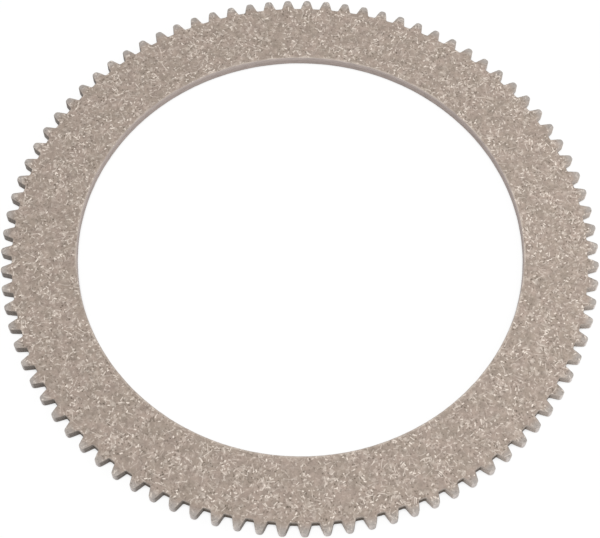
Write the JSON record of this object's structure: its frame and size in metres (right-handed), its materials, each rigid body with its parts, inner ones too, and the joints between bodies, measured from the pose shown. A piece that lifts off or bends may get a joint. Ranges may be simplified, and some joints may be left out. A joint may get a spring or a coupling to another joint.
{
  "type": "toothed brake disc",
  "caption": "Flat brake disc moulded in one piece from fibre-filled friction material, with external gear teeth that slide in a toothed carrier, plain friction faces and a wide plain bore.",
  "frame": {"origin": "centre of the bore on the lower friction face", "axes": "+Z along the axis of the bore, square to both friction faces; +X through the middle of a tooth"},
  "size_m": [0.2269, 0.227, 0.004],
  "materials": {
    "friction_material": "matte"
  },
  "bodies": {
    "root": {"brake_disc": "friction_material"}
  },
  "joints": []
}
